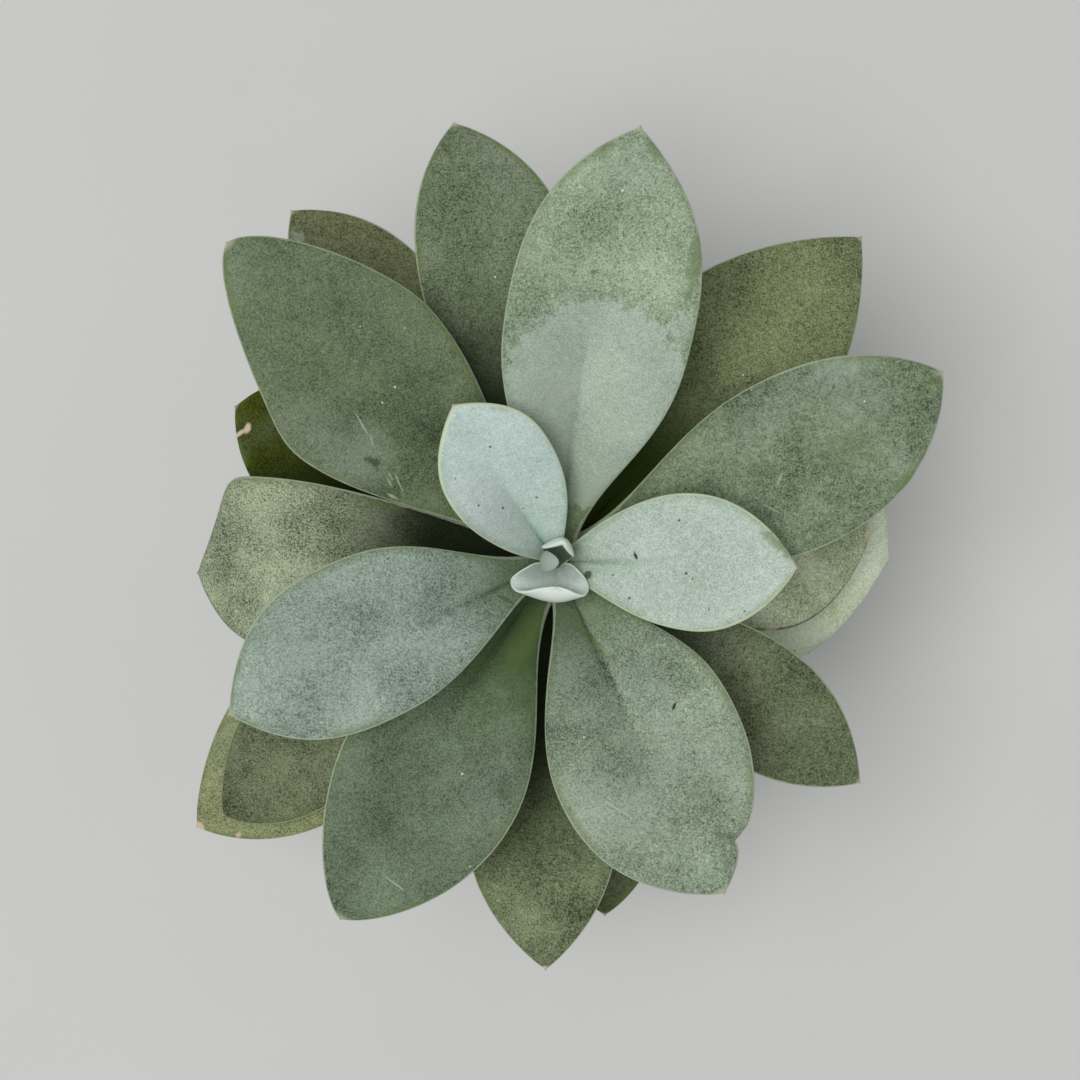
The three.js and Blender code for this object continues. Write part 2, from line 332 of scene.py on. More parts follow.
class MarkKind(Enum):
    """What happened to the leaf at one spot: the colour painted there and how strongly."""

    RUBBED = (0x62763C, 0.55)  # wax worn off, so that the green shows
    WAXED = (0xD2DED6, 0.45)  # thicker wax, where another leaf lay on it
    BRUISE = (0x3A4A26, 0.8)  # a dark green dent
    CORK = (0xDCC6AC, 1.0)  # a healed tan scar
    SCRATCH = (0xC6D0C6, 0.5)  # a fine pale line in the wax
    DOT = (0x2C3428, 0.85)  # a dark dot
    FLECK = (0xF2F5EF, 0.8)  # a white fleck of wax


RUBBED, WAXED, BRUISE, CORK, SCRATCH, DOT, FLECK = MarkKind


@dataclass(frozen=True)
class Mark:
    """One spot on a leaf: its middle along and across the blade and its radii, in millimetres."""

    kind: MarkKind
    along: float
    across: float
    long: float
    wide: float
    turn: float = 0.0
    strength: float = 1.0
    ragged: float = 0.3

    EDGE_MM, SOFTEST_EDGE, NOISE_SWING = 0.6, 0.5, 4.0

    def inside(self, ink: LeafInk) -> Socket:
        """Measure a ragged ellipse by the root of (x/long)^2 + (y/wide)^2, plus noise.

        Args:
            ink: the leaf's skin.

        Returns:
            The paint's strength inside and 0 outside.
        """
        feeds = {
            "Vector": ink.blade,
            "Location": (self.along, self.across, 0.0),
            "Rotation": (0.0, 0.0, math.radians(self.turn)),
            "Scale": (self.long, self.wide, 1.0),
        }
        local = ink.node("Mapping", feeds, vector_type="TEXTURE").outputs[0]
        reach = ink.node("VectorMath", {0: local}, operation="LENGTH").outputs["Value"]
        edge = min(self.EDGE_MM / min(self.long, self.wide), self.SOFTEST_EDGE)
        far = ink.add(ink.rough, self.NOISE_SWING * self.ragged, reach)
        return ink.times(ink.ramp(far, 1.0 + edge, 1.0 - edge), self.kind.value[1] * self.strength)


def spots(*rows: tuple) -> tuple[Mark, ...]:
    """Marks from rows that hold Mark's fields in order."""
    return tuple(Mark(*row) for row in rows)


@dataclass(frozen=True)
class LeafFinish:
    """Leaf skin: pale wax over green tissue, mottled by a fine felt, with a pale line as rim.

    Cover is the share of the skin that the wax hides; felt, mottle, cloud and crease say how much
    the fine grain, the small and broad blotches and the green midrib change it. Fringe is the
    green inside the rim. Heart is the colour round the seat: a green, and on the lower leaves
    painted shade, near black, where the leaves above shade the seat. Shade darkens the half left
    of the midrib, or right if it is below 0, where it is turned from the light. Under is the bloom
    on the underside. Ranges of lengths are in millimetres.
    """

    wax: int
    tissue: int
    rim: int = 0xBECBAE
    bloom: int = 0x8F938D
    under: int = 0x9AA692
    cover: float = 0.5
    felt: float = 0.98
    mottle: float = 0.4
    cloud: float = 0.46
    fringe: float = 0.5
    crease: float = 0.3
    shade: float = 0.0
    under_share: float = 0.4
    heart: float = 0.5
    heart_reach: float = 0.35
    heart_colour: int = 0x5A7340
    rim_width: float = 0.24
    rim_strength: float = 0.7
    relief: float = 0.12
    dry_point: float = 0.6
    shine: float = 0.28

    MOTTLE = Grain(1.3, 4.0, 0.75)
    BLOOM = Grain(0.07, 2.0, 0.5)
    BLOOM_RANGE, BLOOM_SHARE = (0.5, 0.68), 0.3
    CREASE_WIDTH, CREASE_RANGE = 1.2, (0.62, 0.1)
    HEART_FADE = 0.4
    FRINGE_COLOUR, FRINGE_RANGE, FRINGE_CLOUD = 0x66783C, (1.3, 0.2), (0.42, 0.62)
    SHADE_COLOUR, SHADE_REACH = 0x25352B, (0.8, 0.3)
    SHADE_START, SHADE_END = (-0.15, 0.35), (15.0, 0.0)
    RIM_RAGGED = 0.25
    DRY_COLOUR, DRY_RANGE = 0xC9C2A8, (0.9, 0.1)
    PORE_COLOUR, PORES = 0x34402C, (0.55, 0.09, 0.14, 0.7)
    FLECK_COLOUR, FLECKS = 0xE9EFE8, (0.42, 0.055, 0.16, 0.85)
    UNDER_RANGE = (0.7, 0.0)
    ROUGHNESS, SHEEN_ROUGHNESS, RELIEF_SHARE = (0.48, 0.7), 0.6, 0.6

    def dress(self, piece: Piece, length: float, marks: tuple[Mark, ...]) -> None:
        """Paint one leaf, coat over coat: each coat is a share and a colour.

        Args:
            piece: the leaf.
            length: its length in millimetres.
            marks: its spots.
        """
        ink = LeafInk(piece.name + "_skin", length)
        cover = self.cover_share(ink)
        bloom = ink.times(ink.ramp(ink.noise(self.BLOOM), *self.BLOOM_RANGE), self.BLOOM_SHARE)
        # The heart coat is green round the seat, and on the lower leaves painted shade: near black
        # where the leaves above shade the seat.
        reach = length * self.heart_reach
        heart = ink.ramp(ink.along, reach, reach * self.HEART_FADE)
        fringe = ink.ramp(ink.margin, *self.FRINGE_RANGE)
        fringe = ink.times(fringe, ink.ramp(ink.cloud, *self.FRINGE_CLOUD))
        rim = ink.add(ink.rough, self.RIM_RAGGED, ink.margin)
        rim = ink.ramp(rim, self.rim_width, self.rim_width / 2)
        dry = ink.ramp(ink.along, *(length - short for short in self.DRY_RANGE))
        below = ink.ramp(ink.above, *self.UNDER_RANGE)
        shades = [(self.shade_share(ink), self.SHADE_COLOUR)] if self.shade else []
        coats = [
            (cover, self.wax),
            (ink.times(bloom, cover), self.bloom),
            (ink.times(heart, self.heart), self.heart_colour),
            (ink.times(fringe, self.fringe), self.FRINGE_COLOUR),
            *shades,
            (ink.times(rim, self.rim_strength), self.rim),
            (ink.times(dry, self.dry_point), self.DRY_COLOUR),
            (ink.specks(*self.PORES), self.PORE_COLOUR),
            (ink.specks(*self.FLECKS), self.FLECK_COLOUR),
            *((mark.inside(ink), mark.kind.value[0]) for mark in marks),
            (ink.times(below, self.under_share), self.under),
        ]
        colour = self.tissue
        for share, code in coats:
            colour = ink.coat(colour, share, code)
        ink.shader.inputs["Specular IOR Level"].default_value = self.shine
        ink.shader.inputs["Sheen Weight"].default_value = self.shine / 4
        ink.shader.inputs["Sheen Roughness"].default_value = self.SHEEN_ROUGHNESS
        ink.bump(ink.felt, self.relief, self.RELIEF_SHARE)
        ink.paint(piece, colour, ink.ramp(cover, 0.0, 1.0, self.ROUGHNESS))

    def cover_share(self, ink: LeafInk) -> Socket:
        """Work out how much of the skin the wax hides.

        It is the finish's own cover, plus grain and blotches, less the green crease that fades
        from the seat to past the middle.

        Args:
            ink: the leaf's skin.

        Returns:
            The share, mostly between 0 and 1.
        """
        cover = self.cover
        mottle = ink.noise(self.MOTTLE)
        for noise, share in ((ink.felt, self.felt), (mottle, self.mottle), (ink.cloud, self.cloud)):
            cover = ink.add(ink.level(noise), 2.0 * share, cover)
        streak = ink.ramp(ink.maths("ABSOLUTE", ink.across), self.CREASE_WIDTH, 0.0)
        fade = ink.ramp(ink.along, *(ink.length * end for end in self.CREASE_RANGE))
        return ink.add(ink.times(streak, fade), -self.crease, cover)

    def shade_share(self, ink: LeafInk) -> Socket:
        """Work out the soft shade on one half of the blade.

        It starts sharply at the midrib, fades towards the margin and ends before the tip.

        Args:
            ink: the leaf's skin.

        Returns:
            The share of the shade.
        """
        away = ink.times(ink.across, math.copysign(1.0, self.shade))
        side = ink.times(ink.ramp(away, *self.SHADE_START), ink.ramp(away, *self.SHADE_END))
        reach = ink.ramp(ink.along, *(ink.length * end for end in self.SHADE_REACH))
        return ink.times(ink.times(side, reach), abs(self.shade))


@dataclass(frozen=True)
class Outline:
    """How a blade opens from its neck and closes at its tip; pairs are (left, right)."""

    neck: float = 0.2
    flare: float = 1.5
    blunt: Pair = (2.2, 2.2)
    widest: Pair = (0.6, 0.6)
    rounding: float = 0.95
    keel: float = 0.2
    leanest: float = 1.0
    edge: float = 0.6
    tip: float = 0.12

    POINT = 0.012

    def share(self, u: np.ndarray, side: int) -> np.ndarray:
        """Give the half width along one side as a share of its greatest.

        Up to the widest place it is neck + (1 - neck) sin(90 u / widest)^flare. Beyond it, with t
        the share of the way to the tip, it is (1 - t^blunt)^rounding, and never under the point.

        Args:
            u: places along the leaf.
            side: 0 for the left, 1 for the right.

        Returns:
            The shares.
        """
        widest = self.widest[side]
        rise = np.sin(np.pi / 2 * np.clip(u / widest, 0, 1)) ** self.flare
        t = np.clip((u - widest) / (1 - widest), 0, 1)
        closing = np.maximum((1 - t ** self.blunt[side]) ** self.rounding, self.POINT)
        return np.where(u < widest, self.neck + (1 - self.neck) * rise, closing)


def tinted(family: LeafFinish, wax: int, tissue: int, **own: object) -> LeafFinish:
    """A family's finish with a leaf's own two colours and other numbers."""
    return replace(family, wax=wax, tissue=tissue, **own)


LANCE = Outline()
YOUNG = Outline(flare=1.2, blunt=(2.1, 2.1), rounding=0.85)
SPOON = Outline(flare=2.0, blunt=(2.4, 2.4), widest=(0.58, 0.58), rounding=0.85)
SHOVEL = Outline(flare=1.1, blunt=(2.8, 0.85), widest=(0.63, 0.82), rounding=1.1)
BUD = Outline(
    neck=0.5, flare=1.1, widest=(0.5, 0.5), rounding=0.8, keel=1.0, leanest=0.7, edge=0.17, tip=0.03
)

UPPER_SKIN = LeafFinish(0xC4D3C6, 0x39512E)
# The lower leaves' heart is painted shade: near black from the seat over half the blade, where the
# leaves above shade it.
LOWER_SKIN = LeafFinish(
    0xACBAA0, 0x24341A, cloud=0.3, fringe=0.6, heart=0.96, heart_reach=0.55,
    heart_colour=0x16220A, shine=0.07,
)
YOUNG_SKIN = LeafFinish(
    0xDDE8E5, 0x748C7B, rim=0xD2E2B8, felt=0.7, mottle=0.35, cloud=0.2, fringe=0.35, heart=0.4,
    heart_reach=0.2, heart_colour=0x6E8767, rim_width=0.3, rim_strength=0.9, relief=0.05,
)
CROWN_SKIN = LeafFinish(
    0xDEE7E4, 0x68816E, rim=0xE0EBD8, under=0xE9F2E8, under_share=0.85, cover=0.66, felt=0.35,
    mottle=0.2, cloud=0.15, fringe=0.0, crease=0.2, heart=0.35, heart_reach=0.5,
    heart_colour=0x4A6038, rim_width=0.08, rim_strength=0.9, relief=0.03, dry_point=0.0,
)
FIRST_SKIN = replace(CROWN_SKIN, under=0x9DAD9E, rim=0xD4DFD2, rim_width=0.22)
# The second leaf's dark green heart over its whole blade is partly painted shade, for the shade on
# its inner face deep in the crown.
SECOND_SKIN = replace(CROWN_SKIN, heart=0.95, heart_reach=1.0, heart_colour=0x3C5032)


@dataclass(frozen=True)
class Leaf:
    """One leaf of the rosette: where it points, how it rises and folds, and its skin.

    Half holds its greatest half widths, left and right, rise its slopes at seat and tip, and fold
    its fold's slopes at seat and tip, in degrees. A small leaf has a coarser grid and no crease.
    """

    heading: float
    length: float
    half: Pair
    rise: Pair
    bend: float
    outline: Outline
    finish: LeafFinish
    marks: tuple[Mark, ...] = ()
    fold: Pair = (38.0, 8.0)
    fold_fade: float = 1.3
    curl: float = 1.0
    wave: float = 0.0
    nick: float = 0.0

    BODY_PER_WIDTH = 0.065
    TIP_THINNING = 0.4
    CUP = 0.1
    SOFTENING = 0.05
    MARGIN_TAPER = 0.7
    NICK_DEPTH, NICK_REACH = 0.2, 0.025
    NICK_LOBE, NICK_LOBE_START = 0.14, 0.02
    WAVE_TURNS, WAVE_START = 1.6, 0.1
    RIPPLES = ((0.5, 1.4, 2.2), (0.3, 2.3, -3.0))  # height, turns along, lean across
    RIPPLE, MARGIN_RIPPLE, MARGIN_TURNS, RIPPLE_LENGTH = 0.16, 0.18, 2.7, 45.0
    TIP_CROWDING = 0.25
    SLENDER, SLENDER_FROM = 0.55, 0.955
    CREASE_DEPTH, CREASE_WIDTH = 0.28, 0.7
    RIDGE_DEPTH, RIDGE_WIDTH = 0.2, 1.6
    MIDRIB_FADE, CORNER_SHARE = (0.15, 0.75), 0.6
    MIDRIB_STEPS = 1601
    SMALL, SMALL_GRID, GRID = 12.0, (64, 33, 5), (96, 37, 6)  # rows, columns, rows of the point

    def half_width(self, u: np.ndarray, side: int) -> np.ndarray:
        """Measure from the midrib to one margin.

        The outline's share is evened out over 5 places near u, with the weights 1 2 3 2 1. A nick
        takes 0.2 exp(-|u - nick| / 0.025) out of the left margin, and from there to the
        tip the blade stays narrower by 0.14.

        Args:
            u: places along the leaf.
            side: 0 for the left, 1 for the right.

        Returns:
            Millimetres.
        """
        step = self.SOFTENING * np.clip(4 * (1 - u), 0, 1) * np.clip(8 * u, 0, 1)
        taps = [(1 - abs(k) / 3) * self.outline.share(u + k * step / 2, side) for k in range(-2, 3)]
        width = self.half[side] * sum(taps) / 3
        if not self.nick or side == 1:
            return width
        cut = self.NICK_DEPTH * np.exp(-np.abs((u - self.nick) / self.NICK_REACH))
        lobe = self.NICK_LOBE * np.clip((u - self.nick) / self.NICK_LOBE_START + 1, 0, 1)
        return width * (1 - cut - lobe)

    def midrib(self, u: np.ndarray, seat: Pair) -> tuple[np.ndarray, ...]:
        """Lay out the midrib.

        The rise goes by a power of u from its base value to its tip value, the heading turns
        evenly by twice the bend, and places are the running sum of the direction. Past the tip
        the midrib goes straight on.

        Args:
            u: places along the leaf, from 0 at the seat.
            seat: the seat's distance from the stem's axis and its height.

        Returns:
            Places, and the directions to the left of the midrib and up from it.
        """
        fine = np.linspace(0, 1, self.MIDRIB_STEPS)
        rise = np.radians(blend(self.rise[0], self.rise[1], fine ** self.curl))
        heading = np.radians(self.heading + self.bend * (2 * fine - 1))
        level = np.stack([np.cos(heading), np.sin(heading), 0 * heading], -1)
        along = level * np.cos(rise)[:, None] + [0, 0, 1] * np.sin(rise)[:, None]
        left = np.stack([-np.sin(heading), np.cos(heading), 0 * heading], -1)
        turn, (out, height) = math.radians(self.heading), seat
        first = np.array([[out * math.cos(turn), out * math.sin(turn), height]])
        steps = (along[1:] + along[:-1]) / 2 * self.length / (len(fine) - 1)
        places = first + np.concatenate([0 * first, np.cumsum(steps, axis=0)])
        inside = np.clip(u, 0, 1)
        places, ahead, aside = (
            np.stack([np.interp(inside, fine, column) for column in table.T], -1)
            for table in (places, along, left)
        )
        beyond = ((u - inside) * self.length)[:, None] * ahead
        return places + beyond, aside, np.cross(ahead, aside)

    def sheet(
        self, u: np.ndarray, v: np.ndarray, seat: Pair, phases: np.ndarray
    ) -> tuple[np.ndarray, np.ndarray]:
        """Lay out the middle of the blade, folded along the midrib, cupped and softly waved.

        Across is w v cos(fold). Lift is w times the fold's soft V, less a cup of 0.1 v^4 that
        fades to both ends, plus the leaf's own wave and a faint ripple of three sines. Over the
        point, past the tip, the width shrinks as the root of 1 - q^2.

        Args:
            u: places along the leaf.
            v: places across the blade.
            seat: the seat's distance from the stem's axis and its height.
            phases: three random phases of the ripple.

        Returns:
            The places and the half width at each, in millimetres.
        """
        places, left, up = self.midrib(u, seat)
        inside = np.clip(u, 0, 1)
        q = np.clip((u - 1) * self.length / self.outline.tip, 0, 1)
        halves = [(self.half_width(inside, side) * np.sqrt(1 - q * q))[:, None] for side in (0, 1)]
        width = np.where(v[None, :] > 0, *halves)
        fold = blend(self.fold[1], self.fold[0], (1 - inside) ** self.fold_fade)
        fold = np.radians(fold)[:, None]
        keel = self.outline.keel
        climb = (np.hypot(v, keel) - keel) / (math.hypot(1, keel) - keel)
        body = np.sin(np.pi * inside)[:, None]
        lift = width * (climb[None, :] * np.sin(fold) - self.CUP * v[None, :] ** 4 * body)
        turn = 2 * np.pi * inside[:, None]
        swing = np.sin(self.WAVE_TURNS * turn + 2 * np.pi * self.WAVE_START) * np.sign(v) * v * v
        ripple = sum(
            high * np.sin(turns * turn + phase + lean * v)
            for (high, turns, lean), phase in zip(self.RIPPLES, phases)
        )
        margins = np.sin(self.MARGIN_TURNS * turn + phases[2] + np.pi * (v > 0)) * np.abs(v) ** 3
        soft = self.RIPPLE * ripple + self.MARGIN_RIPPLE * margins
        soft = min(self.length / self.RIPPLE_LENGTH, 1.0) * soft
        lift = (lift + (self.wave * swing + soft) * body)[..., None]
        across = (width * v * np.cos(fold))[..., None]
        return places[:, None] + across * left[:, None] + lift * up[:, None], width

    def thickness(self, u: np.ndarray, v: np.ndarray) -> np.ndarray:
        """Measure the blade's thickness.

        It is edge + (body - edge)(1 - v^2)^0.7, and the body grows with the blade's width and
        thins to the tip.

        Args:
            u: places along the leaf.
            v: places across the blade.

        Returns:
            Millimetres.
        """
        body = self.outline.leanest + self.BODY_PER_WIDTH * sum(self.half)
        middle = body * (1 - self.TIP_THINNING * u * u)
        edge = self.outline.edge
        return edge + (middle[:, None] - edge) * (1 - v[None, :] ** 2) ** self.MARGIN_TAPER

    def build(self, name: str, seat: Pair, seed: int) -> Piece:
        """Make the leaf as one closed skin.

        Rows crowd towards the tip, u = s + 0.25 sin(180 s), and columns towards the margins,
        v = cos(a). Half the thickness goes to each side of the sheet and rounds off to nothing
        at the margin as a quarter circle. A crease is sunk along the upper face's midrib and a
        low ridge stands under it.

        Args:
            name: the piece's name.
            seat: the seat's distance from the stem's axis and its height.
            seed: picks the ripple.

        Returns:
            The dressed leaf.
        """
        large = self.length > self.SMALL
        rows, columns, point_rows = self.GRID if large else self.SMALL_GRID
        tip = self.outline.tip / self.length
        s = np.linspace(0, 1, rows)
        past = 1 + np.sin(np.linspace(0, np.pi / 2, point_rows + 1)[1:-1]) * tip
        u = np.concatenate([s + self.TIP_CROWDING * np.sin(np.pi * s), past])
        v = np.cos(np.linspace(0, np.pi, columns))
        v[columns // 2] = 0.0
        phases = np.random.default_rng(seed).uniform(0, 2 * np.pi, 3)
        sheet, width = self.sheet(u, v, seat, phases)
        normal = np.cross(np.gradient(sheet, axis=0), -np.gradient(sheet, axis=1))
        normal /= np.linalg.norm(normal, axis=-1, keepdims=True)
        inside = np.clip(u, 0, 1)
        margin = (1 - np.abs(v))[None, :] * width
        corner = np.minimum(self.outline.edge / 2, self.CORNER_SHARE * width)
        rounding = np.sqrt(1 - (1 - np.clip(margin / corner, 0, 1)) ** 2)
        q = np.clip((u - 1) / tip, 0, 1)[:, None]
        slender = 1 - self.SLENDER * smooth(self.SLENDER_FROM, 1.0, inside)[:, None]
        half = self.thickness(inside, v) / 2 * rounding * slender * np.sqrt(1 - q * q)
        aside = np.abs(v)[None, :] * width
        fade = (1 - smooth(*self.MIDRIB_FADE, inside))[:, None] * large
        crease = self.CREASE_DEPTH * np.exp(-((aside / self.CREASE_WIDTH) ** 2)) * fade
        ridge = self.RIDGE_DEPTH * np.exp(-((aside / self.RIDGE_WIDTH) ** 2)) * fade
        upper = sheet + normal * (half - crease)[..., None]
        under = sheet - normal * (half + ridge)[..., None]
        loop = np.concatenate([upper, under[:, -2:0:-1]], axis=1)
        rings, around = loop.shape[:2]
        end = self.midrib(np.array([1 + tip]), seat)[0]
        points = np.concatenate([loop.reshape(-1, 3), loop[:1].mean(axis=1), end])
        piece = MeshMaker.build(name, points, MeshMaker.close(rings, around))
        tables = {
            "along": (u[:, None] * self.length + 0 * v, [0, self.length]),
            "across": (v[None, :] * width, [0, 0]),
            "margin": (margin, [1, 0]),
        }
        for key, (table, ends) in tables.items():
            both = np.concatenate([table, table[:, -2:0:-1]], axis=1)
            MeshMaker.mark(piece, key, np.append(both, ends))
        sides = np.tile(np.arange(around) < columns, (rings, 1))
        MeshMaker.mark(piece, "above", np.append(sides, [1, 0]).astype(float))
        self.finish.dress(piece, self.length, self.marks)
        return piece


@dataclass(frozen=True)
class Stem:
    """The upright stem, with the scars of lost leaves under the rosette.

    Oldest is the heading of the oldest leaf, and leaves is how many there are.
    """

    oldest: float
    leaves: int
    foot: float = 24.0
    stations: tuple[Pair, ...] = (
        (24, 4.4), (60, 4.4), (72, 3.9), (80, 2.7), (85, 1.5), (87.4, 0.5)
    )
    top_seat: float = 88.6
    seat_spacing: float = 1.3
    turn: float = -137.5
    seat_depth: float = 0.5
    heart: float = 0.2
    scars: int = 6
    scar_height: float = 0.35
    scar_size: Pair = (2.3, 1.0)
    rings: int = 190
    around: int = 72

    STREAKS = Grain(1.6, 4.0, 0.65)
    DENT_DEPTH, DENT_TIGHTNESS = 0.35, 6
    RING_PITCH, RING_WARP, RING_DEPTH, WAVE_DEPTH = 4.1, 1.3, 0.05, 0.04
    THIN, STREAK_RANGE, RELIEF_MM, ROUGHNESS = (0.8, 2.0), (0.35, 0.65), 0.3, 0.75
    FIBRES, BARK, GREEN = (1.0, 1.0, 0.25), (0x4E4633, 0x8C8166), 0x5E7142
    GREEN_RANGE, GREEN_RAGGED = (72.0, 84.0), 8.0

    def radius(self, height: np.ndarray) -> np.ndarray:
        """The stem's radius, in straight lines between its stations."""
        heights, radii = np.array(self.stations).T
        return np.interp(height, heights, radii)

    def seat(self, age: int) -> Pair:
        """Where a leaf starts: its distance from the axis and its height."""
        height = self.top_seat - self.seat_spacing * age
        return max(float(self.radius(height)) - self.seat_depth, self.heart), height

    def relief(self, angle: np.ndarray, height: np.ndarray) -> np.ndarray:
        """Raise the scars over fine corky rings.

        Scars are bells, exp(-x^2 - y^2), each dented in its middle and a spiral step below the
        last. The rings are two low sines.

        Args:
            angle: directions round the axis, in radians.
            height: heights.

        Returns:
            Millimetres outwards.
        """
        wide, tall = self.scar_size
        total = np.zeros(np.broadcast(angle, height).shape)
        for i in range(1, self.scars + 1):
            heading = math.radians(self.oldest + self.turn * i)
            aside = np.arctan2(np.sin(angle - heading), np.cos(angle - heading))
            aside = aside * self.radius(height) / wide
            lost = self.top_seat - self.seat_spacing * (self.leaves - 1 + i)
            drop = (height - lost) / tall
            far = aside ** 2 + drop ** 2
            total = total + np.exp(-far) - self.DENT_DEPTH * np.exp(-self.DENT_TIGHTNESS * far)
        warp = self.RING_WARP * np.sin(3 * angle)
        rings = self.RING_DEPTH * np.sin(self.RING_PITCH * height + warp)
        rings = rings + self.WAVE_DEPTH * np.sin(5 * angle + height)
        return self.scar_height * total + rings

    def build(self) -> Piece:
        """Make the stem as rings round its axis, closed at the foot and at the growing tip.

        Returns:
            The dressed stem.
        """
        top, top_radius = self.stations[-1]
        height = np.linspace(self.foot, top, self.rings)[:, None]
        thin = smooth(*self.THIN, self.radius(height))
        relief = self.relief(full_turn(self.around), height)
        ends = (self.foot, top + top_radius / 2)
        radius = self.radius(height) + thin * relief
        piece = MeshMaker.build("stem_bark", *MeshMaker.turned(radius, height, self.around, ends))
        self.dress(piece)
        return piece

    def dress(self, piece: Piece) -> None:
        """Paint grey-brown cork, streaked up the stem and turning green under the rosette.

        Args:
            piece: the stem.
        """
        ink = Ink("stem_cork")
        height = ink.node("SeparateXYZ", {0: ink.places}).outputs[2]
        fibres = ink.node("Mapping", {"Vector": ink.places, "Scale": self.FIBRES})
        streaks = ink.noise(self.STREAKS, fibres.outputs[0])
        colour = ink.coat(self.BARK[0], ink.ramp(streaks, *self.STREAK_RANGE), self.BARK[1])
        green = ink.ramp(ink.add(streaks, self.GREEN_RAGGED, height), *self.GREEN_RANGE)
        ink.bump(streaks, self.RELIEF_MM)
        ink.paint(piece, ink.coat(colour, green, self.GREEN), self.ROUGHNESS)


@dataclass(frozen=True)
class Pot:
    """A plain round nursery pot: tapered wall, wide band at the rim, drain holes at the foot."""

    height: float = 55.0
    base_radius: float = 21.5
    shoulder_radius: float = 25.6
    rim_radius: float = 28.3
    band_height: float = 9.0
    band_step: float = 1.6
    wall: float = 1.1
    floor: float = 1.4
    lip: float = 0.8
    drain_holes: int = 6
    drain_radius: float = 2.6
    drain_depth: float = 3.5
    around: int = 144
    hole_sides: int = 32
    corner_steps: int = 5

    CLOUD, SCUFFS, PITS = Grain(0.09, 4.0, 0.6), Grain(0.7, 5.0, 0.75), Grain(2.6, 3.0, 0.6)
    PLASTIC, DUST, DUST_SHARE = (0x26272A, 0x333437), 0x77736A, 0.35
    SCUFF_RANGE, CLOUD_RANGE, ROUGHNESS = (0.55, 0.72), (0.45, 0.7), (0.42, 0.7)
    PIT_MM, PIT_SHARE = 0.03, 0.5
    FLAT_RINGS, LEG_SHARE, HOLE_SINK = [4.0, 12.0], 0.45, 2.0

    @property
    def band_foot(self) -> float:
        """The height where the band starts."""
        return self.height - self.band_height

    @property
    def band_radius(self) -> float:
        """The band's outer radius at its foot."""
        return self.shoulder_radius + self.band_step

    def profile(self) -> np.ndarray:
        """Draw the wall's section, with every corner rounded off.

        Each corner is a radius, a height and how far from it the rounding starts. Near a corner
        the section is the curve (1 - t)^2 start + 2t(1 - t) corner + t^2 end.

        Returns:
            Radius and height, from the middle of the underside, out, over the rim and down to
            the middle of the inside floor, with two more rings on both flat faces.
        """
        wall, lip, foot = self.wall, self.lip, self.band_foot
        corners = [
            (self.base_radius - 0.5, 0.0, 0.3),
            (self.base_radius + 0.1, 0.6, 0.5),
            (self.shoulder_radius, foot - lip, 0.3),
            (self.band_radius, foot, 0.3),
            (self.rim_radius - lip / 3, self.height - lip * 1.9, 0.2),
            (self.rim_radius, self.height - lip * 1.4, 0.2),
            (self.rim_radius, self.height, 0.35),
            (self.rim_radius - wall, self.height, 0.35),
            (self.band_radius - wall, foot + wall, 0.5),
            (self.shoulder_radius - wall, foot, 0.5),
            (self.base_radius - wall, self.floor, 1.2),
        ]
        path = np.array([(0.0, 0.0), *(corner[:2] for corner in corners), (0.0, self.floor)])
        section = [path[:1], [(radius, 0.0) for radius in self.FLAT_RINGS]]
        t = np.linspace(0, 1, self.corner_steps)[:, None]
        for i, (_, _, size) in enumerate(corners, start=1):
            before, here, after = path[i - 1] - path[i], path[i], path[i + 1] - path[i]
            legs = [np.linalg.norm(leg) for leg in (before, after)]
            cut = min(size, *(self.LEG_SHARE * leg for leg in legs))
            start, end = here + before / legs[0] * cut, here + after / legs[1] * cut
            section.append((1 - t) ** 2 * start + 2 * t * (1 - t) * here + t ** 2 * end)
        section += [[(radius, self.floor) for radius in self.FLAT_RINGS[::-1]], path[-1:]]
        return np.concatenate(section)

    def build(self) -> Piece:
        """Turn the section round the axis and cut the drain holes.

        Returns:
            The dressed pot.
        """
        radius, height = self.profile().T[..., None]
        ends = (height[0, 0], height[-1, 0])
        made = MeshMaker.turned(radius[1:-1], height[1:-1], self.around, ends)
        piece = MeshMaker.build("pot_wall", *made)
        self.drain(piece)
        self.dress(piece)
        return piece

    def drain(self, piece: Piece) -> None:
        """Cut an upright round hole through the foot of the wall in each of the drain places.

        Args:
            piece: the pot.
        """
        sides = self.hole_sides
        turns = 2 * np.pi * (np.arange(self.drain_holes)[:, None] + 0.5) / self.drain_holes
        bearing = full_turn(sides) + turns
        middle = self.base_radius - self.wall
        x = middle * np.cos(turns) + self.drain_radius * np.cos(bearing)
        y = middle * np.sin(turns) + self.drain_radius * np.sin(bearing)
        lift = self.drain_radius - self.HOLE_SINK + np.array([-1, 1]) * self.drain_depth
        x, y, z = np.broadcast_arrays(x[:, None], y[:, None], lift[:, None])
        starts = (np.arange(self.drain_holes) * 2 * sides)[:, None, None]
        quads = (MeshMaker.tube_faces(2, sides)[None] + starts).reshape(-1, 4)
        foot = np.arange(sides)[::-1][None] + starts[:, 0]
        top = np.arange(sides)[None] + sides + starts[:, 0]
        points = np.stack([x, y, z], -1).reshape(-1, 3)
        cutter = MeshMaker.build("drain_cutter", points, [quads, np.concatenate([foot, top])])
        modifier = piece.modifiers.new("drain", "BOOLEAN")
        modifier.operation = "DIFFERENCE"
        modifier.solver = "EXACT"
        modifier.object = cutter
        shown = piece.evaluated_get(bpy.context.evaluated_depsgraph_get())
        done = bpy.data.meshes.new_from_object(shown)
        piece.modifiers.clear()
        piece.data = done
        done.name = piece.name
        bpy.data.objects.remove(cutter)

